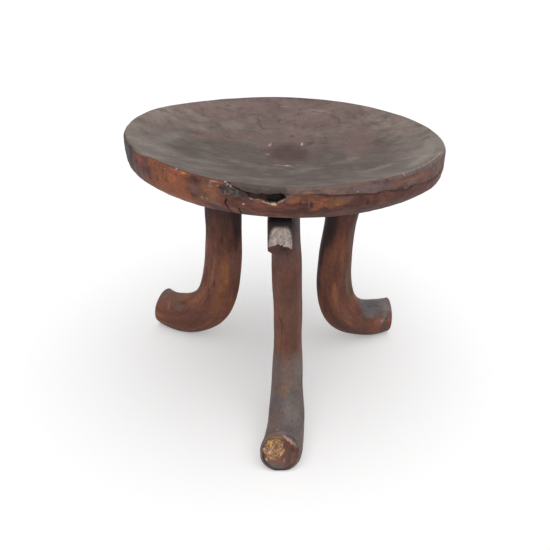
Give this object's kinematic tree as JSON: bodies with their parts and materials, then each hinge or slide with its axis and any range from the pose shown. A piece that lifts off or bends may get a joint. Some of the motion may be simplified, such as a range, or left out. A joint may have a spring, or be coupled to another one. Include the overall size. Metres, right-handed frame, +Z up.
{
  "type": "tripod wooden stool",
  "caption": "Low round wooden stool with a dished seat on crook legs with out-turned feet, a sawn branch stub on the front leg and a broken place in the rim.",
  "frame": {"origin": "middle of the whole stool's box at floor level, a few millimetres from the point under the seat's middle", "axes": "+Z up, -Y towards the front leg, which has the branch stub, and +X to the right of someone who faces the front leg"},
  "size_m": [0.3317, 0.3474, 0.2898],
  "materials": {
    "seat_wood": "satin, worn and greyed on top, red-brown patina on the rim",
    "leg_wood": "satin, red-brown patina, greyed on top of the feet, raw end grain at the toes",
    "wedge_wood": "split, unfinished"
  },
  "bodies": {
    "root": {"seat": "seat_wood", "leg_front": "leg_wood", "leg_left": "leg_wood", "leg_right": "leg_wood", "wedge_front": "wedge_wood", "wedge_left": "wedge_wood", "wedge_right": "wedge_wood"}
  },
  "joints": []
}
